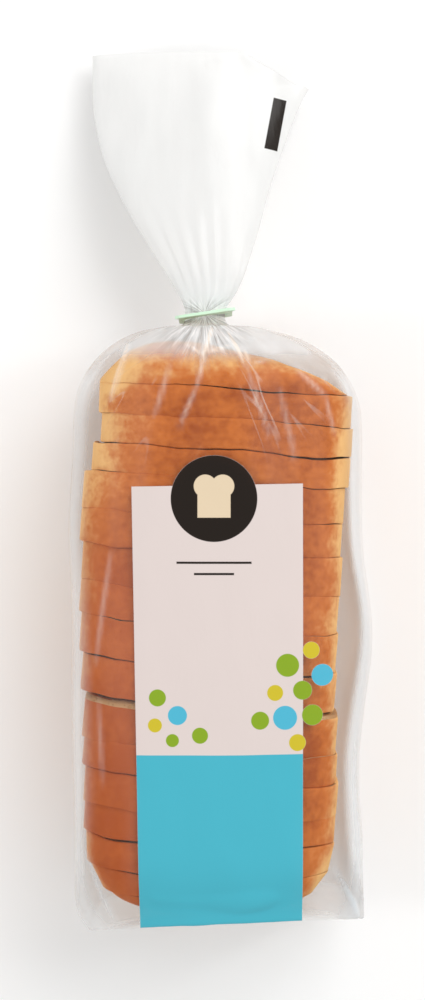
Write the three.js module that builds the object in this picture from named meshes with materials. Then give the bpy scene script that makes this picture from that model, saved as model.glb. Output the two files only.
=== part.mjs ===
// A sliced white sandwich loaf in its clear film bag. It lies base down and crown up, the neck of the bag is
// gathered in a plastic bag clip, and the open mouth of the bag fans out beyond the clip.
// Sizes are in millimetres and +Z is up. +Y runs along the loaf towards the clip, and +X is to the right when
// the crown is seen with the clip at the top. The origin is on the surface that the bag lies on, below the
// middle of its length and width.
// The bag is one closed solid of the film's outer shape, because the film and the bread fill it together.

import * as THREE from "three";

// The loaf inside, which the film is drawn over
const loafHeight = 93;

// The body of the bag
const crownClearance = 2;
const bodyTop = loafHeight + crownClearance;
const bodyMiddle = 44; // height where the body is widest
const bodyLeft = 61.2;
const bodyRight = 58.9;
const crownPower = 3.6; // above 2 is squarer than an ellipse
const basePower = 5;
const baseFlat = 0.9; // how much of the rounded base is flattened on the surface below
const leftPouch = { y: -15, reach: 2.8, spread: 25 };
const rightPouch = { y: -61, reach: 5.1, spread: 27 };
const rightWaist = { y: -119, reach: -1.6, spread: 18 };

// The sealed bottom end, a gusset whose rim leans back from two ears at half height to the crown and the base
const sealY = -187;
const sealTop = 89;
const sealMiddle = 40;
const sealPower = 2.8;
const sealBlendLength = 36;
const sealLean = 0.24;
const sealSlant = 0.045; // the left ear reaches further than the right one
const leftEarCut = 6;
const gussetDepth = 7;

// The shoulder, where the body closes in on the neck
const shoulderStart = 29;
const shoulderEnd = 68;
const shoulderWidthPower = 2.1; // 2 is a round shoulder seen from above
const shoulderHeightPower = 4; // seen from the side it is squarer, because the crown of the loaf holds it up

// The neck in the clip
const neckX = -6.3;
const neckY = 72.8;
const neckZ = 46;
const neckHalfWidth = 8;
const neckHalfHeight = 4;
const neckHalfLength = 3.2;

// The tail, a fan of film from the clip to the open mouth
const mouthY = 189.4;
const mouthLeft = -56.4;
const mouthRight = 40;
const mouthBottom = 1;
const mouthTop = 23;
const mouthPower = 1.7;
const mouthSlantFrom = 12; // right of here the rim of the mouth falls away from the tip
const mouthSlant = 0.54;

// Pleats and creases of the film
const gatherPleats = 16;
const neckPleatDepth = 0.55;
const shoulderPleatDepth = 2.3;
const tailPleatDepth = 0.5;
const creaseDepth = 1.1;
const mouthWave = 0.5;

// The bag clip, a thin tag with a hole and a mouth, pushed over the neck
const clipX = -6;
const clipWidth = 25.4;
const clipHeight = 22;
const clipThickness = 1.2;
const clipCorner = 3;
const clipNib = 1.3;
const clipTurn = THREE.MathUtils.degToRad(8.5);
const clipLean = THREE.MathUtils.degToRad(-3);
const clipHoleHalfWidth = 9.6;
const clipHoleHalfHeight = 5.5;
const clipMouth = 3.4;

const samples = gatherPleats * 4;

const mix = (a, b, share) => a + (b - a) * share;
const smooth = (t) => THREE.MathUtils.smoothstep(t, 0, 1);
const bump = (y, { y: centre, reach, spread }) => reach * Math.exp(-(((y - centre) / spread) ** 2));

// Points of a quarter of a superellipse from (halfWidth, 0) to (0, halfHeight), evenly spaced along it.
function quarter(halfWidth, halfHeight, power, count) {
  const fine = 240;
  const line = [];
  for (let i = 0; i <= fine; i++) {
    const angle = (i / fine) * (Math.PI / 2);
    const x = halfWidth * Math.max(Math.cos(angle), 0) ** (2 / power);
    const z = halfHeight * Math.sin(angle) ** (2 / power);
    line.push(new THREE.Vector2(x, z));
  }
  const lengths = [0];
  for (let i = 1; i <= fine; i++) lengths.push(lengths[i - 1] + line[i].distanceTo(line[i - 1]));
  const points = [];
  let at = 0;
  for (let k = 0; k < count; k++) {
    const wanted = (k / count) * lengths[fine];
    while (lengths[at + 1] < wanted) at++;
    const share = (wanted - lengths[at]) / (lengths[at + 1] - lengths[at]);
    points.push(line[at].clone().lerp(line[at + 1], share));
  }
  return points;
}

// A closed section of the bag: x and z offsets from its centre line, counter-clockwise from the right.
function section({ x, left, right, middle, top, bottom, upper, lower }) {
  const count = samples / 4;
  const up = top - middle;
  const down = middle - bottom;
  const rightUp = quarter(right - x, up, upper, count);
  const leftUp = quarter(x - left, up, upper, count);
  const leftDown = quarter(x - left, down, lower, count);
  const rightDown = quarter(right - x, down, lower, count);
  const corner = (halfWidth, halfHeight) => new THREE.Vector2(halfWidth, halfHeight);
  // A quarter runs from the side to the top or base, so every second one is walked backwards.
  const backwards = (points, last) => [last, ...points.slice(1).reverse()];
  return [
    ...rightUp.map((p) => [x + p.x, middle + p.y]),
    ...backwards(leftUp, corner(0, up)).map((p) => [x - p.x, middle + p.y]),
    ...leftDown.map((p) => [x - p.x, middle - p.y]),
    ...backwards(rightDown, corner(0, down)).map((p) => [x + p.x, middle - p.y]),
  ];
}

// The plain body section at y, which narrows to the pointed section of the sealed end.
function bodySection(y) {
  const toSeal = smooth((sealY + sealBlendLength - y) / sealBlendLength);
  const earCut = smooth((sealY + 14 - y) / 14);
  const outline = section({
    x: 0,
    left: -(bodyLeft + bump(y, leftPouch)) + leftEarCut * earCut ** 2,
    right: bodyRight + bump(y, rightPouch) + bump(y, rightWaist) + mix(0, 2.2, toSeal),
    middle: mix(bodyMiddle, sealMiddle, toSeal),
    top: mix(bodyTop, sealTop, toSeal ** 2),
    bottom: -baseFlat,
    upper: mix(crownPower, sealPower, toSeal),
    lower: mix(basePower, sealPower + 1, toSeal),
  });
  return outline.map(([px, pz]) => [px, Math.max(pz, 0)]);
}

const neckSection = section({
  x: neckX,
  left: neckX - neckHalfWidth,
  right: neckX + neckHalfWidth,
  middle: neckZ,
  top: neckZ + neckHalfHeight,
  bottom: neckZ - neckHalfHeight,
  upper: 2,
  lower: 2,
});

// The fan at a share of the way from the neck to the mouth.
function tailSection(share) {
  const open = Math.sin((Math.PI / 2) * Math.min(1, share * 1.15)) ** 1.1;
  const rightStart = 4.5 * (1 - Math.exp(-share / 0.05));
  const left = mix(neckX - neckHalfWidth, mouthLeft, open);
  const right = mix(neckX + neckHalfWidth + rightStart, mouthRight, share);
  const droop = smooth(share);
  const middle = mix(neckZ, (mouthTop + mouthBottom) / 2, droop);
  const halfHeight = mix(neckHalfHeight, (mouthTop - mouthBottom) / 2, smooth(share * 1.3));
  return section({
    x: (left + right) / 2,
    left,
    right,
    middle,
    top: middle + halfHeight,
    bottom: Math.max(middle - halfHeight, mouthBottom),
    upper: mix(2, mouthPower, share),
    lower: mix(2, mouthPower, share),
  });
}

// Moves every point of a ring away from the ring's middle, by a depth in millimetres for each point.
function swell(ring, depthAt) {
  const centreX = ring.reduce((sum, p) => sum + p.x, 0) / ring.length;
  const centreZ = ring.reduce((sum, p) => sum + p.z, 0) / ring.length;
  ring.forEach((p, i) => {
    const away = new THREE.Vector3(p.x - centreX, 0, p.z - centreZ).normalize();
    p.addScaledVector(away, depthAt(i));
  });
  return ring;
}

const atY = (outline, y) => outline.map(([x, z]) => new THREE.Vector3(x, y, z));

// One ridge and one valley for each gathered pleat, with every third ridge standing higher.
function pleat(i) {
  const wave = Math.sin((i / 4) * Math.PI * 2 + Math.PI / 2);
  const size = Math.floor(i / 4) % 3 === 0 ? 1.45 : 0.85;
  return wave * size;
}

// A few long soft creases that run down the sides and over the crown.
function crease(i, y) {
  const angle = (i / samples) * Math.PI * 2;
  return Math.sin(7 * angle + y / 38) * Math.cos(3 * angle - y / 61);
}

// Moves a ring near the sealed end to the slant and lean of the rim.
function leanBack(ring, y) {
  const share = smooth((sealY + 60 - y) / 60);
  ring.forEach((p) => (p.y += share * (sealLean * Math.abs(p.z - sealMiddle) + sealSlant * p.x)));
  return ring;
}

function sealRings() {
  const rim = leanBack(atY(bodySection(sealY), sealY), sealY);
  const centre = new THREE.Vector3(0, sealY, sealMiddle);
  const cap = [0.12, 0.36, 0.62, 0.84, 0.95].map((share) =>
    rim.map((p) => {
      const inset = centre.clone().lerp(p, share);
      inset.y += gussetDepth * (1 - share ** 3);
      return inset;
    }),
  );
  return [...cap, rim];
}

function bodyRings() {
  const rings = [];
  const nearSeal = [2.5, 6, 12, 20, 30, 42].map((step) => sealY + step);
  const plainRings = 13;
  const plainStart = sealY + 56;
  const plain = [];
  for (let i = 0; i <= plainRings; i++) plain.push(mix(plainStart, shoulderStart, i / plainRings));
  for (const y of [...nearSeal, ...plain]) {
    const fade = smooth((y - sealY) / 40);
    const ring = swell(atY(bodySection(y), y), (i) => creaseDepth * fade * crease(i, y));
    ring.forEach((p) => (p.z = Math.max(p.z, 0)));
    rings.push(leanBack(ring, y));
  }
  return rings;
}

function shoulderRings() {
  const rings = [];
  const steps = 10;
  for (let k = 1; k <= steps; k++) {
    const along = Math.sin((k / (steps + 0.4)) * (Math.PI / 2));
    const wide = (1 - along ** shoulderWidthPower) ** (1 / shoulderWidthPower);
    const high = (1 - along ** shoulderHeightPower) ** (1 / shoulderHeightPower);
    const y = mix(shoulderStart, shoulderEnd, along);
    const body = bodySection(shoulderStart);
    const outline = neckSection.map(([x, z], i) => [mix(x, body[i][0], wide), mix(z, body[i][1], high)]);
    const depth = shoulderPleatDepth * Math.sin(Math.PI * Math.min(1, (1 - wide) * 1.05)) ** 1.2;
    const soft = creaseDepth * wide;
    const ring = swell(atY(outline, y), (i) => depth * pleat(i) + soft * crease(i, y));
    ring.forEach((p) => (p.z = Math.max(p.z, 0)));
    rings.push(ring);
  }
  return rings;
}

function neckRings() {
  return [-neckHalfLength, 0, neckHalfLength].map((step) =>
    swell(atY(neckSection, neckY + step), (i) => neckPleatDepth * pleat(i)),
  );
}

// How far the rim of the mouth falls back at x.
function rimFall(x) {
  return mouthSlant * Math.max(x - mouthSlantFrom, 0);
}

function tailRings() {
  const start = neckY + neckHalfLength;
  const shares = [0.035, 0.085, 0.15, 0.23, 0.32, 0.42, 0.52, 0.62, 0.72, 0.82, 0.91, 0.97, 1];
  return shares.map((share) => {
    const ring = atY(tailSection(share), 0);
    ring.forEach((p) => (p.y = mix(start, mouthY - rimFall(p.x) * share ** 2, share)));
    const depth = tailPleatDepth * Math.sin(Math.PI * Math.min(share * 2.1 + 0.06, 1)) ** 1.5;
    const soft = mouthWave * share;
    swell(ring, (i) => depth * pleat(i) + soft * crease(i, 140 * share));
    ring.forEach((p) => (p.z = Math.max(p.z, 0.2)));
    return ring;
  });
}

function mouthRings(rim) {
  const middle = rim.reduce((sum, p) => sum.add(p), new THREE.Vector3()).divideScalar(rim.length);
  return [0.6, 0.2].map((share) => rim.map((p) => middle.clone().lerp(p, share).setY(p.y - 1.5)));
}

// A closed mesh through the rings, with a fan of triangles to the middle of the first ring and of the last.
function skin(rings) {
  const count = rings[0].length;
  const points = rings.flat();
  const faces = [];
  const at = (ring, i) => ring * count + (i % count);
  for (let r = 0; r + 1 < rings.length; r++) {
    for (let i = 0; i < count; i++) {
      faces.push(at(r, i), at(r + 1, i), at(r + 1, i + 1));
      faces.push(at(r, i), at(r + 1, i + 1), at(r, i + 1));
    }
  }
  const ends = [rings[0], rings[rings.length - 1]].map((ring) =>
    ring.reduce((sum, p) => sum.add(p), new THREE.Vector3()).divideScalar(count),
  );
  const first = points.push(ends[0]) - 1;
  const last = points.push(ends[1]) - 1;
  for (let i = 0; i < count; i++) {
    faces.push(first, at(0, i), at(0, i + 1));
    faces.push(last, at(rings.length - 1, i + 1), at(rings.length - 1, i));
  }
  const geometry = new THREE.BufferGeometry().setFromPoints(points);
  geometry.setIndex(faces);
  geometry.computeVertexNormals();
  return geometry;
}

function bag() {
  const tail = tailRings();
  const rings = [
    ...sealRings(),
    ...bodyRings(),
    ...shoulderRings(),
    ...neckRings(),
    ...tail,
    ...mouthRings(tail[tail.length - 1]),
  ];
  const film = new THREE.MeshStandardMaterial({ color: 0xd9d5d0, roughness: 0.25, transparent: true, opacity: 0.5 });
  const mesh = new THREE.Mesh(skin(rings), film);
  mesh.name = "bag";
  return mesh;
}

// The tag is drawn flat in X and Z with its mouth at the bottom edge, then given its thickness along Y.
function clip() {
  const halfWidth = clipWidth / 2;
  const halfHeight = clipHeight / 2;
  const inner = halfWidth - clipNib;
  const outline = new THREE.Shape();
  outline.moveTo(clipMouth, -halfHeight);
  outline.lineTo(inner - clipCorner, -halfHeight);
  outline.quadraticCurveTo(inner, -halfHeight, inner, -halfHeight + clipCorner);
  outline.lineTo(inner, halfHeight - clipCorner - clipNib);
  outline.lineTo(halfWidth, halfHeight - clipCorner + clipNib);
  outline.lineTo(inner, halfHeight - clipNib / 2);
  outline.quadraticCurveTo(inner - 0.4, halfHeight, inner - clipNib, halfHeight);
  outline.lineTo(-inner + clipNib, halfHeight);
  outline.quadraticCurveTo(-inner + 0.4, halfHeight, -inner, halfHeight - clipNib / 2);
  outline.lineTo(-halfWidth, halfHeight - clipCorner + clipNib);
  outline.lineTo(-inner, halfHeight - clipCorner - clipNib);
  outline.lineTo(-inner, -halfHeight + clipCorner);
  outline.quadraticCurveTo(-inner, -halfHeight, -inner + clipCorner, -halfHeight);
  outline.lineTo(-clipMouth, -halfHeight);
  // The mouth narrows to two teeth, and the hole opens behind them.
  const toothGap = clipMouth / 2;
  const toothZ = -clipHoleHalfHeight - 2.4;
  outline.lineTo(-toothGap, toothZ);
  const holeStart = Math.PI * 1.5 - Math.asin(clipMouth / clipHoleHalfWidth);
  const holeEnd = Math.PI * 1.5 + Math.asin(clipMouth / clipHoleHalfWidth) - Math.PI * 2;
  outline.absellipse(0, 0, clipHoleHalfWidth, clipHoleHalfHeight, holeStart, holeEnd, true);
  outline.lineTo(toothGap, toothZ);
  outline.closePath();
  const geometry = new THREE.ExtrudeGeometry(outline, {
    depth: clipThickness,
    bevelEnabled: false,
    curveSegments: 20,
  });
  geometry.translate(0, 0, -clipThickness / 2);
  geometry.rotateX(Math.PI / 2);
  geometry.rotateX(clipLean);
  geometry.rotateZ(clipTurn);
  const plastic = new THREE.MeshStandardMaterial({ color: 0x8fd3a0, roughness: 0.4 });
  const mesh = new THREE.Mesh(geometry, plastic);
  mesh.name = "clip";
  mesh.position.set(clipX, neckY, neckZ);
  return mesh;
}

const loafInBag = new THREE.Group();
loafInBag.add(bag(), clip());

export default loafInBag;
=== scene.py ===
# %% [markdown]
# # A sliced sandwich loaf in its film bag
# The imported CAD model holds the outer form: a solid in the shape of the filled bag, and the clip on its neck.
# This notebook dresses it. The solid is replaced by what it stands for, a thin clear film with a printed
# panel and the slices of bread inside it, and the clip keeps its CAD mesh and gets its plastic.
# Everything is in metres, in the frame of the CAD: +Z is up and +Y runs from the sealed end to the clip.

# %% Load the frame
import math
import random

import bmesh
import bpy
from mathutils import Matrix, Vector, noise


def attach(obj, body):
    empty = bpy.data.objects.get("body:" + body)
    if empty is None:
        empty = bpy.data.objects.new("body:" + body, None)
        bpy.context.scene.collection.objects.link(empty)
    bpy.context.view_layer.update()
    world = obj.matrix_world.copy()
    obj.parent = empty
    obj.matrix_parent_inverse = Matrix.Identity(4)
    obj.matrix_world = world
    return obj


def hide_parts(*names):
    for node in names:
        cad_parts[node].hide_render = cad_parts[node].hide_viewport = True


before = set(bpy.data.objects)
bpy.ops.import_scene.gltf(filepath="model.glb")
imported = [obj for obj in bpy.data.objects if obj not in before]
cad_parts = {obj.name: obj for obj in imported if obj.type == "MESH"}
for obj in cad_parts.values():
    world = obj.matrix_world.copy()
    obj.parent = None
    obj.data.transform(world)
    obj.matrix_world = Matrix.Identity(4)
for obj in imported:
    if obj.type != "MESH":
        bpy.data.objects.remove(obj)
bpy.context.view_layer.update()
bpy.ops.object.select_all(action="DESELECT")
MM = 0.001
print("CAD nodes:", sorted(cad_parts))

# %% [markdown]
# ## Camera
# The loaf was seen from straight above, at about 0.8 m, with the middle of the view a little below the point
# under the lens. A small vertical shift gives that framing and keeps the sensor level, as in the photograph.

# %% Camera
CAMERA_AT = Vector((-3, 16, 893)) * MM
bpy.ops.object.camera_add(location=CAMERA_AT, rotation=(0, 0, 0))
camera = bpy.context.object
camera.name = "camera"
camera.data.sensor_width = 36
camera.data.lens = 72
camera.data.shift_y = -0.05
camera.data.clip_end = 20
bpy.context.scene.camera = camera
print("camera:", tuple(CAMERA_AT), "lens", camera.data.lens)

# %% [markdown]
# ## Light and floor
# The light is a plain soft studio: a pale world, a large soft panel over the upper right, where the crust is
# brightest in the photograph, and two narrower panels whose reflections draw the bright streaks on the
# creases of the film. The floor is plain and pale.

# %% Light and floor
KEY_WATTS = 8
LEFT_STREAK_WATTS = 2.5
RIGHT_STREAK_WATTS = 2.2
WORLD_LEVEL = 0.69
FLOOR_DROP = 0.3 * MM


def soft_panel(name, place, target, width, height, watts):
    bpy.ops.object.light_add(type="AREA", location=place)
    lamp = bpy.context.object
    lamp.name = name
    lamp.data.shape = "RECTANGLE"
    lamp.data.size = width
    lamp.data.size_y = height
    lamp.data.energy = watts
    lamp.rotation_euler = (Vector(target) - Vector(place)).to_track_quat("-Z", "Y").to_euler()
    return lamp


soft_panel("key_panel", (0.62, 0.85, 1.15), (0, 0, 0.05), 0.9, 0.9, KEY_WATTS)
soft_panel("left_streak_panel", (-0.95, -0.1, 0.65), (0, 0, 0.06), 0.12, 0.9, LEFT_STREAK_WATTS)
soft_panel("right_streak_panel", (0.85, 0.25, 0.85), (0, 0, 0.06), 0.14, 0.8, RIGHT_STREAK_WATTS)

world = bpy.data.worlds.new("studio")
bpy.context.scene.world = world
world.use_nodes = True
sky = world.node_tree.nodes["Background"]
sky.inputs["Color"].default_value = (1.0, 0.995, 0.985, 1)
sky.inputs["Strength"].default_value = WORLD_LEVEL
view = bpy.context.scene.view_settings
view.view_transform = "Standard"
view.look = "None"

bpy.ops.mesh.primitive_plane_add(size=8, location=(0, 0, -FLOOR_DROP))
floor = bpy.context.object
floor.name = "floor"

# %% [markdown]
# ## Writing materials as expressions
# A shader is a graph, and graphs are slow to read. The class below wraps one output socket of a node, and
# Python's operators on it add Math nodes, so that a pattern reads as a sum of its parts. The second class
# holds a material with its Principled shader and adds every other node through one method.

# %% Shader helpers
def join(tree, value, socket):
    """Links a wrapped socket, or sets a plain value."""
    if isinstance(value, Flow):
        tree.links.new(value.socket, socket)
    elif value is not None:
        socket.default_value = value


class Flow:
    """One output socket of a shader node, with Python's operators."""

    def __init__(self, tree, socket):
        self.tree = tree
        self.socket = socket

    def math(self, operation, *values):
        node = self.tree.nodes.new("ShaderNodeMath")
        node.operation = operation
        for value, socket in zip(values, node.inputs):
            join(self.tree, value, socket)
        return Flow(self.tree, node.outputs[0])

    def __add__(self, other):
        return self.math("ADD", self, other)

    def __sub__(self, other):
        return self.math("SUBTRACT", self, other)

    def __rsub__(self, other):
        return self.math("SUBTRACT", other, self)

    def __mul__(self, other):
        return self.math("MULTIPLY", self, other)

    def __truediv__(self, other):
        return self.math("DIVIDE", self, other)

    def __pow__(self, other):
        return self.math("POWER", self, other)

    __radd__ = __add__
    __rmul__ = __mul__

    def size(self):
        return self.math("ABSOLUTE", self)

    def least(self, other):
        return self.math("MINIMUM", self, other)

    def most(self, other):
        return self.math("MAXIMUM", self, other)

    def rise(self, low, high):
        """0 below low, 1 above high and a smooth step between; falls where low is above high."""
        node = self.tree.nodes.new("ShaderNodeMapRange")
        node.interpolation_type = "SMOOTHSTEP"
        join(self.tree, self, node.inputs["Value"])
        if low < high:
            ends = (low, high, 0.0, 1.0)
        else:
            ends = (high, low, 1.0, 0.0)
        for name, value in zip(("From Min", "From Max", "To Min", "To Max"), ends):
            node.inputs[name].default_value = value
        return Flow(self.tree, node.outputs["Result"])


class Finish:
    """A material and its Principled shader."""

    def __init__(self, name, **constants):
        self.material = bpy.data.materials.new(name)
        self.material.use_nodes = True
        self.tree = self.material.node_tree
        self.shader = self.tree.nodes["Principled BSDF"]
        self.set(**constants)
        self.coords = self.node("ShaderNodeTexCoord", output="Object")

    def set(self, **values):
        for name, value in values.items():
            join(self.tree, value, self.shader.inputs[name.replace("_", " ")])

    def node(self, kind, settings=(), inputs=(), output=0):
        node = self.tree.nodes.new(kind)
        for name, value in dict(settings).items():
            setattr(node, name, value)
        for name, value in dict(inputs).items():
            join(self.tree, value, node.inputs[name])
        return Flow(self.tree, node.outputs[output])

    def axes(self):
        """The three object coordinates, in metres."""
        node = self.tree.nodes.new("ShaderNodeSeparateXYZ")
        join(self.tree, self.coords, node.inputs[0])
        return [Flow(self.tree, node.outputs[i]) for i in range(3)]

    def stretched(self, x, y, z):
        """The object coordinates, each axis times its own factor."""
        return self.node("ShaderNodeMapping", inputs={"Vector": self.coords, "Scale": (x, y, z)})

    def noise(self, scale, detail=2.0, rough=0.5, coords=None, bend=0.0):
        """Clouds of a scale in turns for each metre, from 0 to 1."""
        inputs = {
            "Vector": coords or self.coords,
            "Scale": scale,
            "Detail": detail,
            "Roughness": rough,
            "Distortion": bend,
        }
        return self.node("ShaderNodeTexNoise", inputs=inputs, output="Fac")

    def cells(self, scale):
        """The distance to the middle of the nearest of many scattered cells."""
        inputs = {"Vector": self.coords, "Scale": scale}
        return self.node("ShaderNodeTexVoronoi", inputs=inputs, output="Distance")

    def attribute(self, name):
        """A number that is kept for each point of the mesh."""
        return self.node("ShaderNodeAttribute", {"attribute_name": name}, output="Fac")

    def mix(self, share, first, second):
        """A colour between the first and the second, by their share from 0 to 1."""
        node = self.tree.nodes.new("ShaderNodeMix")
        node.data_type = "RGBA"
        join(self.tree, share, node.inputs["Factor"])
        colours = [s for s in node.inputs if s.type == "RGBA"]
        join(self.tree, first, colours[0])
        join(self.tree, second, colours[1])
        return Flow(self.tree, next(s for s in node.outputs if s.type == "RGBA"))

    def bump(self, height, strength, depth):
        inputs = {"Height": height, "Strength": strength, "Distance": depth}
        self.set(Normal=self.node("ShaderNodeBump", inputs=inputs, output="Normal"))


def srgb(red, green, blue):
    """A colour as read off a picture, 0 to 255, as the shader's linear values."""
    parts = [v / 255 for v in (red, green, blue)]
    linear = [p / 12.92 if p <= 0.04045 else ((p + 0.055) / 1.055) ** 2.4 for p in parts]
    return (*linear, 1.0)


floor_finish = Finish("pale_floor", Base_Color=srgb(252, 252, 252), Roughness=0.9, Specular_IOR_Level=0.1)
floor.data.materials.append(floor_finish.material)
print("finish:", floor_finish.material.name)

# %% [markdown]
# ## Modelling helpers
# Operators act on whatever is selected, so one helper makes an object the only selected one, and another
# selects faces or edges by a test on their place. A finished piece keeps its place in its mesh.

# %% Modelling helpers
def pick(obj):
    bpy.ops.object.select_all(action="DESELECT")
    obj.select_set(True)
    bpy.context.view_layer.objects.active = obj


def settle(obj):
    """Puts the object's place, turn and size into its mesh."""
    pick(obj)
    bpy.ops.object.transform_apply(location=True, rotation=True, scale=True)


def choose(kind, test):
    """In edit mode, selects only the vertices, edges or faces that pass the test, and counts them."""
    modes = {"verts": "VERT", "edges": "EDGE", "faces": "FACE"}
    bpy.ops.mesh.select_mode(type=modes[kind])
    bpy.ops.mesh.select_all(action="DESELECT")
    mesh = bmesh.from_edit_mesh(bpy.context.edit_object.data)
    count = 0
    for item in getattr(mesh, kind):
        if test(item):
            item.select = True
            count += 1
    mesh.select_flush_mode()
    bmesh.update_edit_mesh(bpy.context.edit_object.data)
    return count


def own_copy(obj, name):
    twin = obj.copy()
    twin.data = obj.data.copy()
    twin.name = name
    twin.data.name = name
    bpy.context.collection.objects.link(twin)
    return twin


def middle_of(edge):
    return (edge.verts[0].co + edge.verts[1].co) / 2


def runs_along(edge, axis):
    step = edge.verts[1].co - edge.verts[0].co
    return abs(step.normalized()[axis]) > 0.99


# %% [markdown]
# ## One slice of bread
# A sandwich loaf is baked in a tin, so a slice is a rounded square: straight sides, small corners at the
# base and wide ones at the crown, which rises a little above the tin. The slice starts as a block. Its two
# crown edges and two base edges are bevelled, the long faces are subdivided so that the crown can be domed,
# and the rims of both cut faces get a small bevel, because a cut crust never has a sharp edge.

# %% Shape one slice
SLICE_WIDTH = 107 * MM
SLICE_HEIGHT = 92.5 * MM
CROWN_CORNER = 25 * MM
BASE_CORNER = 9 * MM
CROWN_DOME = 3.2 * MM
CRUST_THICK = 1.3 * MM
CUT_ROUND = 0.6 * MM
BROAD_RIM = 3 * MM
CROWN_SEGMENTS = 12
BASE_SEGMENTS = 6
LONG_EDGE = 30 * MM
FACE_CUTS = 19
DOME_START = 0.6
BASE_WIDTH = 0.955
HAIR = 0.01 * MM


def block_slice(name, thick, front_rim, back_rim):
    """A slice on the ground plane, cut faces along Y, with its own bevel on each cut rim."""
    bpy.ops.mesh.primitive_cube_add(size=1)
    block = bpy.context.object
    block.name = name
    block.scale = (SLICE_WIDTH, thick, SLICE_HEIGHT)
    block.location = (0, 0, SLICE_HEIGHT / 2)
    settle(block)
    bpy.ops.object.mode_set(mode="EDIT")
    choose("edges", lambda e: runs_along(e, 1) and middle_of(e).z > SLICE_HEIGHT - HAIR)
    bpy.ops.mesh.bevel(offset=CROWN_CORNER, segments=CROWN_SEGMENTS, profile=0.46, affect="EDGES")
    choose("edges", lambda e: runs_along(e, 1) and middle_of(e).z < HAIR)
    bpy.ops.mesh.bevel(offset=BASE_CORNER, segments=BASE_SEGMENTS, affect="EDGES")
    choose("edges", lambda e: e.calc_length() > LONG_EDGE and not runs_along(e, 1))
    bpy.ops.mesh.subdivide(number_cuts=FACE_CUTS)
    for sign, width in ((1, front_rim), (-1, back_rim)):
        choose("faces", lambda f, s=sign: f.normal.y * s > 0.99)
        bpy.ops.mesh.region_to_loop()
        bpy.ops.mesh.bevel(offset=width, segments=3 if width < BROAD_RIM else 7, affect="EDGES")
    choose("faces", lambda f: abs(f.normal.y) > 0.99)
    bpy.ops.mesh.inset(thickness=CRUST_THICK, use_individual=True)
    bpy.ops.object.mode_set(mode="OBJECT")
    half = SLICE_WIDTH / 2
    for vert in block.data.vertices:
        share = max(0.0, vert.co.z / SLICE_HEIGHT - DOME_START) / (1 - DOME_START)
        vert.co.z += CROWN_DOME * share * (1 - (vert.co.x / half) ** 2) - CROWN_DOME * share
        # The crown bulges over the tin's edge, and the base is a little narrower.
        height = vert.co.z / SLICE_HEIGHT
        bulge = math.sin(math.pi * max(0.0, min(1.0, height * 0.85 + 0.08)))
        vert.co.x *= BASE_WIDTH + (1 - BASE_WIDTH) * max(0.0, bulge) ** 0.7
    return block


print("slice:", SLICE_WIDTH / MM, "x", SLICE_HEIGHT / MM, "mm")

# %% [markdown]
# ## The row of slices
# The slices stand against each other as they left the slicer, each a little shifted, turned or lifted. The
# table gives, in millimetres, how far along the row each slice begins and ends at the crown, the place of
# its middle across the loaf, its width, and its turn seen from above. One gap stays open where the loaf has
# parted, and the slice beyond it, towards the sealed end, has a rim of bare crumb, where the crust has torn
# away from the cut. Two slices that meet share the line of their cut, so that they fit like the real ones.
# The first and last slices are heels, whose outer rim is rounded as the end of the tin was.

# %% Place the slices
# back edge, front edge, middle, width, turn in degrees
SLICES = (
    (41.3, 58.6, 2.0, 102.4, -4.1),
    (28.9, 41.2, 2.4, 105.0, -3.7),
    (16.1, 28.8, 2.8, 104.6, -3.8),
    (3.9, 16.0, 0.4, 107.4, -4.1),
    (-11.1, 3.8, -2.6, 108.8, -3.9),
    (-25.0, -11.2, -3.6, 108.4, -3.8),
    (-40.4, -25.1, -3.2, 107.8, -3.9),
    (-55.7, -40.5, -4.4, 107.4, -4.3),
    (-71.2, -55.8, -4.6, 107.0, -4.8),
    (-87.2, -71.3, -4.6, 106.2, -5.3),
    (-105.3, -88.1, -3.9, 105.8, -5.2),
    (-117.3, -105.4, -4.1, 105.4, -4.7),
    (-130.9, -117.4, -3.7, 105.0, -4.1),
    (-143.3, -131.0, -4.2, 104.0, -3.4),
    (-155.3, -143.4, -4.0, 103.0, -2.6),
    (-165.2, -155.4, -3.6, 102.0, -1.8),
    (-171.8, -165.5, -3.4, 101.0, -1.2),
)
CRUMB_RIMS = {11: 2.6 * MM}
LIFT = 0.9 * MM
END_ROUND_START = -146 * MM
END_ROUND_LENGTH = 25.5 * MM
END_MIDDLE = -3 * MM
# the round outer rims of the two heels
FIRST_RIM = 11 * MM
LAST_RIM = 4 * MM
# where the first heel bows out most and where its corner starts, and how strongly, in 1/m
BOW_MIDDLE = -14 * MM
BOW_CORNER = -20 * MM
HEEL_BOW = 3.4
HEEL_CORNER = 12
LEAST_THICK = 1 * MM
# how much of the full height the last slices keep, as the loaf's end was rounded by its tin
END_HEIGHTS = {15: 0.992, 16: 0.978, 17: 0.958}
# how far in millimetres the knife wandered, the crumb tore, and two slices press into each other
CUT_WAVE = 1.7
CUT_TEAR = 0.45
OVERLAP = 0.15
SEED = 17


def round_loaf_end(vert):
    """Narrows the row towards its sealed end, whose corners were rounded by the tin."""
    past = (END_ROUND_START - vert.co.y) / END_ROUND_LENGTH
    if past > 0:
        keep = 0.5 + 0.5 * (1 - min(past, 1.0) ** 2.2) ** (1 / 2.2)
        vert.co.x = END_MIDDLE + (vert.co.x - END_MIDDLE) * keep


def heel_drop(x):
    """How far in metres the outer face of the first heel falls back at x; it bows out left of its middle."""
    return HEEL_BOW * (x - BOW_MIDDLE) ** 2 + HEEL_CORNER * max(0.0, BOW_CORNER - x) ** 2


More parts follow.
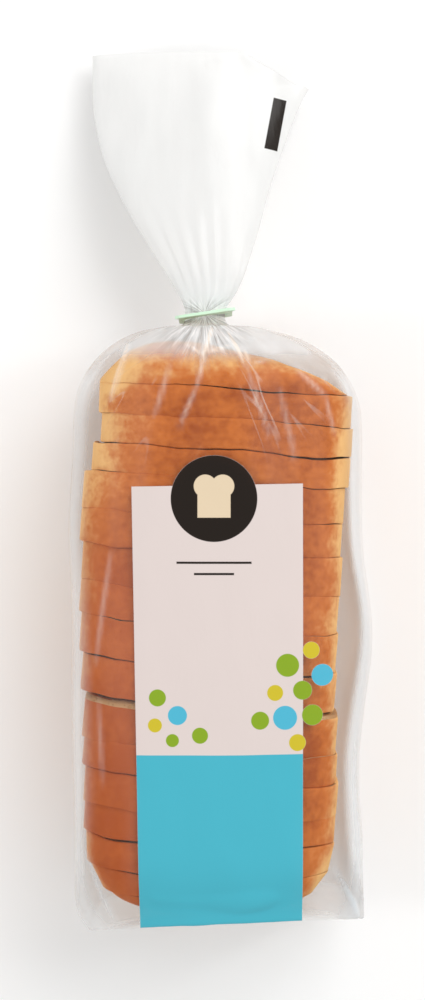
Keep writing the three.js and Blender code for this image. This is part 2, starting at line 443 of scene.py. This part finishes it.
def cut_at(place, cut, y):
    """Where a cut that crosses the row at y runs, the same for the two slices that meet at it."""
    turns = [row[4] for row in SLICES]
    turn = (turns[max(cut - 1, 0)] + turns[min(cut, len(turns) - 1)]) / 2
    wave = noise.noise(Vector((place.x / (24 * MM), cut * 3.7, place.z / (38 * MM))))
    tears = noise.noise(Vector((place.x / (6 * MM), cut * 5.1, place.z / (9 * MM))))
    slant = (place.x - END_MIDDLE) * math.tan(math.radians(turn))
    return (y + CUT_WAVE * wave + CUT_TEAR * tears) * MM + slant


draws = random.Random(SEED)
slices = []
for number, (back, front, middle, width, turn) in enumerate(SLICES, start=1):
    thick = (front - back) * MM
    front_rim = FIRST_RIM if number == 1 else CRUMB_RIMS.get(number, CUT_ROUND)
    back_rim = LAST_RIM if number == len(SLICES) else CUT_ROUND
    piece = block_slice(f"slice_{number:02d}", thick, front_rim, back_rim)
    piece.scale.x = width * MM / SLICE_WIDTH
    piece.scale.z = END_HEIGHTS.get(number, 1) * (1 + draws.uniform(-0.008, 0.004))
    piece.location = (middle * MM, (back + front) / 2 * MM, LIFT)
    piece.rotation_euler = (math.radians(draws.uniform(-0.25, 0.25)), 0, math.radians(turn))
    settle(piece)
    slope = math.tan(math.radians(turn))
    for vert in piece.data.vertices:
        share = (vert.co.y - back * MM - (vert.co.x - middle * MM) * slope) / thick
        share = max(0.0, min(1.0, share))
        near_cut = cut_at(vert.co, number, back)
        far_cut = cut_at(vert.co, number - 1, front + OVERLAP)
        vert.co.y = near_cut * (1 - share) + far_cut * share
        if number == 1:
            vert.co.y -= share * min(heel_drop(vert.co.x), thick - LEAST_THICK)
        else:
            round_loaf_end(vert)
    shade = piece.data.attributes.new("bake", "FLOAT", "POINT")
    tone = draws.uniform(-1, 1)
    for value in shade.data:
        value.value = tone
    slices.append(piece)
print(len(slices), "slices")

# %% [markdown]
# ## Crust and crumb
# The crust is browned by the oven at the crown and paler down the sides, where the tin shields it. Clouds of
# several sizes make it uneven, and each slice has its own tone, kept in an attribute, because neighbouring
# slices never match exactly. Light and shade are painted on as well: the first heel, its left shoulder and the
# upper left are painted paler, as lit from the upper left, and the lower left and the left flank are painted
# darker, as shade. The right edge is paler, partly from its pale side crust and partly from painted light, and
# one corner of the last heel is made paler. The crumb is cream with pores of two sizes, and browner close to
# the crust, partly its own colour and partly painted shade.

# %% Crust and crumb
crust = Finish("crust", Roughness=0.7, Specular_IOR_Level=0.15)
x, y, z = crust.axes()
blotches = crust.noise(38, 4, 0.6)
patches = crust.noise(11, 2, 0.5)
grain = crust.noise(310, 3, 0.6)
wrinkles = crust.noise(75, 3, 0.6, crust.stretched(0.22, 1, 0.6))
tone = crust.attribute("bake")
browning = z.rise(0.060, 0.093) + (blotches - 0.5) * 0.8 + (patches - 0.5) * 0.9 + (wrinkles - 0.5) * 0.8
browning = browning + (grain - 0.5) * 0.7 + tone * 0.12

# Painted light: the first heel, the left shoulder of its crown and the upper left are made paler, as lit from
# the upper left.
lit_first_heel = y.rise(0.034, 0.054)
shoulder_highlight = (((x + 0.046) ** 2.0 + (y - 0.049) ** 2.0) ** 0.5).rise(0.017, 0.003)
upper_left_light = x.rise(-0.016, -0.034) * y.rise(-0.030, -0.010) * y.rise(0.040, 0.026)
# Painted shade: the lower left of the crown is made browner, on the side away from the light.
lower_left_shade = x.rise(0.020, -0.030) * y.rise(-0.040, -0.090)
# The right edge is made paler, partly as its pale side crust and partly as painted light from the right.
pale_side_and_light = x.rise(0.043, 0.052) * (y.rise(-0.034, -0.010) * y.rise(0.040, 0.016) * 0.30 + 0.22)
# One corner of the last heel is made paler.
pale_end_corner = (((x - 0.045) ** 2.0 + ((y + 0.162) * 0.6) ** 2.0) ** 0.5).rise(0.010, 0.003)
browning = browning - shoulder_highlight * 0.7 - lit_first_heel * 0.65 - upper_left_light * 0.25
browning = browning - pale_side_and_light + lower_left_shade * 0.22 - pale_end_corner * 0.6
pale = crust.mix(z.rise(0.068, 0.036), srgb(240, 190, 124), srgb(214, 156, 98))
warm = crust.mix(browning.rise(0.0, 0.8), pale, srgb(200, 112, 50))
deep = crust.mix(browning.rise(0.65, 1.35), warm, srgb(156, 74, 28))
# Painted shade: the upper left flank is made a deeper, darker orange.
left_flank_shade = x.rise(-0.010, -0.040) * y.rise(0.0, -0.040) * z.rise(0.052, 0.080)
crust.set(Base_Color=crust.mix(left_flank_shade * 0.55, deep, srgb(180, 80, 12)))
skin = crust.noise(420, 3, 0.6) * 0.5 + crust.noise(90, 2, 0.5) * 0.5
crust.bump(skin, 0.35, 0.0006)

crumb = Finish("crumb", Roughness=0.85, Specular_IOR_Level=0.15)
pores = crumb.cells(420).least(crumb.cells(230) * 1.15)
holes = pores.rise(0.10, 0.34)
open_crumb = crumb.mix(holes, srgb(206, 172, 124), srgb(238, 216, 178))
x, y, z = crumb.axes()
# The crumb is browner towards the crust, partly its own colour and partly painted shade for crumb seen down in
# the open gap.
crust_edge_and_shade = (x.size() / 0.052).most((z - 0.046).size() / 0.045).rise(0.66, 0.88)
crumb.set(Base_Color=crumb.mix(crust_edge_and_shade * 0.85, open_crumb, srgb(176, 124, 74)))
crumb.bump(holes, 0.6, 0.0008)

for piece in slices:
    piece.data.materials.append(crust.material)
    piece.data.materials.append(crumb.material)
    pick(piece)
    bpy.ops.object.mode_set(mode="EDIT")
    choose("faces", lambda f: abs(f.normal.y) > 0.95)
    bpy.context.object.active_material_index = 1
    bpy.ops.object.material_slot_assign()
    bpy.ops.object.mode_set(mode="OBJECT")
bpy.ops.object.select_all(action="DESELECT")
print("finishes:", crust.material.name, crumb.material.name)

# %% [markdown]
# ## Crust around each cut
# The ring of a cut face that belongs to the crust goes back to the crust's material: it is the outermost
# inset of each cut face, so its faces are narrow and touch the bevelled rim. The outer faces of the two
# heels are crust all over, and the rim at the open gap is torn crumb.

# %% Give the heels and the cut rims their crust
def rim_faces(obj):
    """Faces of a cut side that share an edge with the bevelled rim."""
    mesh = bmesh.new()
    mesh.from_mesh(obj.data)
    rims = []
    for face in mesh.faces:
        if abs(face.normal.y) > 0.95 and len(face.verts) == 4:
            beyond = [f for e in face.edges for f in e.link_faces if abs(f.normal.y) <= 0.95]
            if beyond:
                rims.append(face.index)
    mesh.free()
    return rims


for number, piece in enumerate(slices, start=1):
    for index in rim_faces(piece):
        piece.data.polygons[index].material_index = 0
    outward = {1: 1, len(slices): -1}.get(number, 0)
    for face in piece.data.polygons:
        if outward and face.normal.y * outward > 0.3:
            face.material_index = 0
        elif number in CRUMB_RIMS and 0.2 < face.normal.y < 0.95:
            face.material_index = 1
print("slices with a torn rim:", list(CRUMB_RIMS))

# %% [markdown]
# ## One loaf
# The slices ride together in the bag, so they become one mesh. A cloud texture then moves its surface by
# less than a millimetre, as dough never rises quite evenly, and does it over all slices at once, so that
# the swellings run on from one slice to the next.

# %% Join the slices
OVEN_SWELL = 1.6 * MM
SWELL_SIZE = 45 * MM
CREASE_ANGLE = math.radians(38)

pick(slices[0])
for piece in slices:
    piece.select_set(True)
bpy.ops.object.join()
loaf = bpy.context.object
loaf.name = "sliced_loaf"
loaf.data.name = "sliced_loaf"
swell = bpy.data.textures.new("oven_swell", "CLOUDS")
swell.noise_scale = SWELL_SIZE
modifier = loaf.modifiers.new("oven_swell", "DISPLACE")
modifier.texture = swell
modifier.texture_coords = "LOCAL"
modifier.strength = OVEN_SWELL
modifier.mid_level = 0.5
bpy.ops.object.modifier_apply(modifier=modifier.name)
bpy.ops.object.shade_smooth_by_angle(angle=CREASE_ANGLE)
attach(loaf, "root")
print("loaf:", len(loaf.data.polygons), "faces")

# %% [markdown]
# ## The film
# The film starts as a copy of the CAD solid's skin. Its doubled corners are merged, the cap that closes the
# solid at the mouth is opened, and two levels of subdivision turn the plain facets into a smooth sheet.

# %% Copy the skin
MERGE_GAP = 0.02 * MM
MOUTH_START = 150 * MM


def open_mouth(face):
    return face.normal.y > 0.6 and face.calc_center_median().y > MOUTH_START


film = own_copy(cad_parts["bag"], "film_bag")
pick(film)
bpy.ops.object.mode_set(mode="EDIT")
bpy.ops.mesh.select_all(action="SELECT")
bpy.ops.mesh.remove_doubles(threshold=MERGE_GAP)
bpy.ops.mesh.tris_convert_to_quads(face_threshold=1.2, shape_threshold=3.1)
print("mouth cap faces:", choose("faces", open_mouth))
bpy.ops.mesh.delete(type="FACE")
bpy.ops.object.mode_set(mode="OBJECT")
smoother = film.modifiers.new("smooth", "SUBSURF")
smoother.levels = 2
smoother.render_levels = 2
bpy.ops.object.modifier_apply(modifier=smoother.name)
print("film:", len(film.data.polygons), "faces")

# %% [markdown]
# ## Film around the bread
# The real film lies on the bread and never cuts into it. A convex hull of the loaf, made even by a voxel
# remesh, is the form that a tight film would take, and a shrinkwrap pushes out only those points of the film
# that fall inside it. The neck and the tail are left out of this by a vertex group.

# %% Keep the film outside the loaf
BODY_END = 62 * MM
HULL_GRAIN = 2.5 * MM
AIR_GAP = 0.9 * MM

hull = own_copy(loaf, "loaf_hull")
pick(hull)
bpy.ops.object.mode_set(mode="EDIT")
bpy.ops.mesh.select_all(action="SELECT")
bpy.ops.mesh.convex_hull()
bpy.ops.object.mode_set(mode="OBJECT")
even = hull.modifiers.new("even", "REMESH")
even.mode = "VOXEL"
even.voxel_size = HULL_GRAIN
bpy.ops.object.modifier_apply(modifier=even.name)
pick(film)
body = film.vertex_groups.new(name="body")
wrapped = [vert.index for vert in film.data.vertices if vert.co.y < BODY_END]
body.add(wrapped, 1, "REPLACE")
wrap = film.modifiers.new("over_loaf", "SHRINKWRAP")
wrap.target = hull
wrap.vertex_group = body.name
wrap.wrap_method = "NEAREST_SURFACEPOINT"
wrap.wrap_mode = "OUTSIDE"
wrap.offset = AIR_GAP
bpy.ops.object.modifier_apply(modifier=wrap.name)
film.vertex_groups.clear()
bpy.data.objects.remove(hull)
print("film points around the bread:", len(wrapped))

# %% [markdown]
# ## Creases
# Thin film doesn't bend smoothly. It stays flat and folds along narrow ridges that fan out from the clip and
# run off the corners. Each ridge below is a line on the crown, and every point of the film near it is
# lifted along the film's own normal. The rest of the sheet gets a faint crumple from a stretched noise. Two
# attributes are kept for the finish: how sharply the film folds at a point, and how flat it lies there.

# %% Crease the film
# from x, y to x, y in millimetres, height and half width in millimetres
RIDGES = (
    (-3, 66, -9, 42, 1.1, 1.5),
    (-9, 42, -16, 26, 0.6, 1.6),
    (3, 64, 11, 48, 0.9, 1.3),
    (11, 48, 20, 22, 0.55, 1.5),
    (-13, 58, -7, 54, 0.6, 1.1),
    (-7, 54, 4, 58, 0.6, 1.1),
    (10, 56, 12, 50, 0.7, 1.1),
    (12, 50, 19, 52, 0.6, 1.1),
    (31, 48, 42, 38, 0.6, 1.6),
    (42, 38, 46, 22, 0.5, 1.4),
    (-37, 58, -44, 36, 0.9, 1.6),
    (-20, 50, -26, 30, 0.5, 1.8),
    (24, 40, 30, 12, 0.4, 1.8),
    (-44, -26, -50, -70, 0.4, 1.7),
    (-49, -84, -47, -118, 0.35, 1.7),
    (46, -152, 57, -176, 1.2, 1.8),
    (-54, -148, -42, -176, 1.0, 1.8),
)
# height of the crumple and the sizes of its two noises along x, y and z, in millimetres
CRUMPLE = 0.38
COARSE = (16, 42, 16)
FINE = (7, 15, 7)
RIDGES_END = 70
LEAST_HEIGHT = 0.05 * MM


def near_ridge(point):
    """How far in millimetres the ridges lift a point of the crown, and how sharply the film folds there."""
    lift = 0.0
    fold = 0.0
    for x1, y1, x2, y2, height, half in RIDGES:
        step = Vector((x2 - x1, y2 - y1))
        reach = Vector((point.x - x1, point.y - y1))
        along = max(0.0, min(1.0, reach.dot(step) / step.length_squared))
        away = (reach - step * along).length
        if away < 3 * half:
            fade = math.sin(math.pi * (0.12 + 0.76 * along))
            lift += height * math.exp(-((away / half) ** 2)) * fade
            fold = max(fold, height * fade * math.exp(-((away / (0.55 * half)) ** 2)))
    return lift, fold


def crumple_at(point, sizes, shift=(0, 0, 0)):
    """A noise stretched to its sizes along the three axes."""
    turned = Vector([place / size for place, size in zip(point, sizes)])
    return noise.noise(turned + Vector(shift))


film.data.update()
normals = [vert.normal.copy() for vert in film.data.vertices]
slopes = [abs(normal.z) for normal in normals]
folds = []
for vert, normal in zip(film.data.vertices, normals):
    place = vert.co / MM
    lift = fold = 0.0
    if normal.z > 0.2 and place.y < RIDGES_END:
        lift, fold = near_ridge(place)
    folds.append(fold)
    lift += CRUMPLE * (crumple_at(place, COARSE) + 0.55 * crumple_at(place, FINE, (31, 7, 3)))
    vert.co += normal * lift * MM
    vert.co.z = max(vert.co.z, LEAST_HEIGHT)
film.data.attributes.new("fold", "FLOAT", "POINT").data.foreach_set("value", folds)
film.data.attributes.new("lying", "FLOAT", "POINT").data.foreach_set("value", slopes)
bpy.ops.object.shade_smooth()
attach(film, "root")
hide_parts("bag")
print("points on a fold:", sum(fold > 0.1 for fold in folds))

# %% [markdown]
# ## Print
# The print is ink on the film, so it is part of the film's own material. Each printed field is a mask made
# from the distance to its edges, and where there is ink the film is opaque. The panel and its blue end lie
# on the crown side alone, and fold down over the sealed end with the film.

# %% Masks of the print
film_finish = Finish("printed_film", Roughness=0.22, IOR=1.5, Specular_IOR_Level=0.3)
x, y, z = film_finish.axes()
EDGE = 0.16 * MM


def inside(signed):
    """1 where a signed distance is above zero, with a crisp but smooth edge."""
    return signed.rise(-EDGE, EDGE)


def disc(centre_x, centre_y, radius):
    """Signed distance into a disc, seen from above, in metres."""
    across = (x - centre_x * MM) ** 2.0
    along = (y - centre_y * MM) ** 2.0
    return radius * MM - (across + along) ** 0.5


def bar(centre_x, centre_y, half_width, half_length, lean=0.0):
    """Signed distance into a rectangle whose long axis leans to the right of +Y by an angle in degrees."""
    turn = math.radians(lean)
    across = (x - centre_x * MM) * math.cos(turn) - (y - centre_y * MM) * math.sin(turn)
    along = (x - centre_x * MM) * math.sin(turn) + (y - centre_y * MM) * math.cos(turn)
    return (half_width * MM - across.size()).least(half_length * MM - along.size())


crown_side = z.rise(0.058, 0.060)
left_edge = x + 35.4 * MM + (y - 1.6 * MM) * 0.018
right_edge = 33.2 * MM - x
top_edge = 2.0 * MM + x * 0.018 - y
end_edge = y + 183 * MM
panel = inside(left_edge.least(right_edge).least(top_edge).least(end_edge)) * crown_side
blue_field = inside(-105.8 * MM + x * 0.006 - y) * panel
print("print masks ready")

# %% [markdown]
# ## Design
# The panel carries a generic design: a dark disc with the outline of a slice in it, two short rules, and a
# scatter of dots in green, yellow and blue that runs over the right edge of the panel. Near the mouth of the
# bag there is one dark bar, the mark by which a packing machine finds the length of a bag.

# %% Draw the design
PAPER_WHITE = srgb(222, 209, 205)
FIELD_BLUE = srgb(71, 180, 200)
BADGE_BROWN = srgb(24, 13, 4)
SLICE_CREAM = srgb(226, 206, 176)
DOT_COLOURS = {"green": srgb(136, 168, 34), "yellow": srgb(206, 188, 44), "blue": srgb(78, 182, 210)}
# x, y and radius in millimetres
DOTS = (
    (27, -70, 4.6, "green"),
    (36.5, -64, 3.4, "yellow"),
    (41, -74, 4.4, "blue"),
    (33, -80, 3.8, "green"),
    (22, -81, 3.2, "yellow"),
    (26, -91, 4.8, "blue"),
    (37, -90, 4.2, "green"),
    (16, -92, 3.6, "green"),
    (31, -101, 3.4, "yellow"),
    (-25, -83, 3.4, "green"),
    (-17, -90, 3.8, "blue"),
    (-26, -94, 2.8, "yellow"),
    (-8, -98, 3.2, "green"),
    (-19, -100, 2.6, "green"),
)
badge = inside(disc(-2.4, -3.4, 17.3)) * crown_side
slice_icon = disc(-5.9, 1.6, 4.6).most(disc(1.1, 1.6, 4.6)).most(bar(-2.4, -4.6, 6.6, 6.4))
slice_shape = inside(slice_icon) * crown_side
rules = inside(bar(-2.4, -29, 15, 0.45).most(bar(-2.4, -33.5, 8, 0.45))) * crown_side
tail_top = (z - 0.0145 + (y - 0.158) * 0.354).rise(-0.0005, 0.0005)
eye_mark = inside(bar(24.4, 157.6, 2.9, 11.8, 10.5)) * tail_top
print("dots:", len(DOTS))

# %% [markdown]
# ## Colour of the bare film
# Clear film shows mainly by what it adds. It looks grey over the open air at the sides of the bread, a darker
# grey on the right side as painted shade, and whiter along the streaks of its pleats as painted highlights.
# It is whiter at the two ends of the loaf, where it is gathered, partly with a painted sheen, and near white
# on the tail, where two layers lie over each other. A sharp fold gets a painted highlight. The ink colours
# are laid over all that.

# %% Colour the film and its ink
tail_side = y.rise(0.066, 0.100)
drape = film_finish.noise(26, 3, 0.6, film_finish.stretched(1, 0.13, 0.5)).rise(0.42, 0.66)
closed_ends = y.rise(-0.156, -0.180).most(y.rise(0.044, 0.058))
right_side = x.rise(0.040, 0.058)
# Painted shade: the bare film is a darker grey on the right side.
grey_film = film_finish.mix(right_side, srgb(214, 219, 222), srgb(198, 204, 208))
# Painted highlights: the film is whiter along its pleat streaks, and at the two gathered ends, partly with a
# painted sheen.
pleat_sheen_and_gathered_ends = drape.most(closed_ends * 0.8) * (1 - right_side * 0.4)
body_film = film_finish.mix(pleat_sheen_and_gathered_ends, grey_film, srgb(243, 246, 248))
bare_film = film_finish.mix(tail_side, body_film, srgb(240, 240, 239))
fold = film_finish.attribute("fold")
# Painted highlight: a sharp fold is drawn warm white.
bare_film = film_finish.mix(fold.rise(0.1, 0.5) * y.rise(-0.14, -0.12), bare_film, srgb(252, 240, 228))
colour = film_finish.mix(panel, bare_film, PAPER_WHITE)
colour = film_finish.mix(blue_field, colour, FIELD_BLUE)
cover = panel.most(badge).most(eye_mark)
for centre_x, centre_y, radius, name in DOTS:
    dot = inside(disc(centre_x, centre_y, radius)) * crown_side
    colour = film_finish.mix(dot, colour, DOT_COLOURS[name])
    cover = cover.most(dot)
colour = film_finish.mix(badge.most(rules).most(eye_mark), colour, BADGE_BROWN)
colour = film_finish.mix(slice_shape, colour, SLICE_CREAM)
print("colour nodes:", len(film_finish.tree.nodes))

# %% [markdown]
# ## Haze and gloss of the film
# How opaque the film is decides how clear it looks. It is nearly clear where it lies on the bread, hazier
# where it lies flat over air and on the tail, and whitest on a sharp fold, under its painted highlight. Around
# the clip, where the film is gathered, the colour gets streaks of painted shade and painted highlight. Fine
# lines that fan out from the clip are creases too thin for the mesh, drawn as painted highlights and worked
# out from the angle and the distance around the clip.

# %% Film gloss and haze
lying = film_finish.attribute("lying").rise(0.08, 0.55)
over_bread = z.rise(0.070, 0.086) * (1 - tail_side) * y.rise(0.058, 0.050)
haze = film_finish.noise(14, 3, 0.6, film_finish.stretched(1, 0.35, 1))
from_neck = ((x + 0.0063) ** 2.0 + (y - 0.072) ** 2.0) ** 0.5
angle = y.math("ARCTAN2", y - 0.0735, x + 0.0063)
ray = film_finish.node("ShaderNodeCombineXYZ", inputs={"X": angle * 3.2, "Y": from_neck * 22.0, "Z": z * 8.0})
streaks = film_finish.noise(3.2, 2, 0.6, ray)
gathered = from_neck.rise(0.027, 0.009) * y.rise(0.082, 0.074)
# Painted shade and painted highlight: the film gathered at the clip gets dark and white streaks.
colour = film_finish.mix(gathered * streaks.rise(0.50, 0.38) * (1 - cover), colour, srgb(158, 157, 154))
colour = film_finish.mix(gathered * streaks.rise(0.50, 0.62) * (1 - cover), colour, srgb(246, 246, 246))
fan = film_finish.node("ShaderNodeCombineXYZ", inputs={"X": angle * 4.2, "Y": from_neck * 8.0, "Z": 4.0})
thin_line = (film_finish.noise(1.8, 0, 0.5, fan) - 0.5).size().rise(0.018, 0.002)
pinch = thin_line * from_neck.rise(0.012, 0.024) * from_neck.rise(0.070, 0.044)
pinch = pinch * z.rise(0.080, 0.088) * (1 - cover) * drape.most(haze.rise(0.42, 0.54))
# Painted highlights: the fine creases that fan out from the clip are drawn warm white.
colour = film_finish.mix(pinch, colour, srgb(252, 242, 230))
hazed = lying.most(tail_side).most(closed_ends)
margin = 0.08 + haze * 0.08 + (0.32 + drape * 0.14 + right_side * 0.20) * hazed + tail_side * 0.36
clear = margin - over_bread * (margin - 0.015 - drape * 0.035) + fold * 0.5
clear = clear + gathered * (streaks - 0.5).size() * 2.0 + pinch * 0.30
film_finish.set(Base_Color=colour, Alpha=clear.most(cover * 0.985))
crinkle = film_finish.noise(70, 3, 0.55, film_finish.stretched(1, 0.4, 1), 0.6)
film_finish.bump(crinkle, 0.25, 0.0012)
film.data.materials.clear()
film.data.materials.append(film_finish.material)
print("film nodes:", len(film_finish.tree.nodes))

# %% [markdown]
# ## The clip
# The clip keeps its CAD mesh. It is a tag stamped from thin polystyrene sheet, pale green and slightly
# milky, so its cut rim looks brighter than its faces.

# %% Clip plastic
clip_finish = Finish("clip_plastic", Roughness=0.38)
x, y, z = clip_finish.axes()
mottle = clip_finish.noise(160, 2, 0.5)
clip_finish.set(Base_Color=clip_finish.mix(mottle, srgb(200, 238, 206), srgb(220, 248, 226)))
clip_finish.bump(clip_finish.noise(900, 2, 0.5), 0.12, 0.0003)
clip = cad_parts["clip"]
for slot in clip.material_slots:
    slot.material = clip_finish.material
print("clip faces:", len(clip.data.polygons))

# %% [markdown]
# ## Nothing is left selected at the end.

# %% Clear the selection
bpy.ops.object.select_all(action="DESELECT")
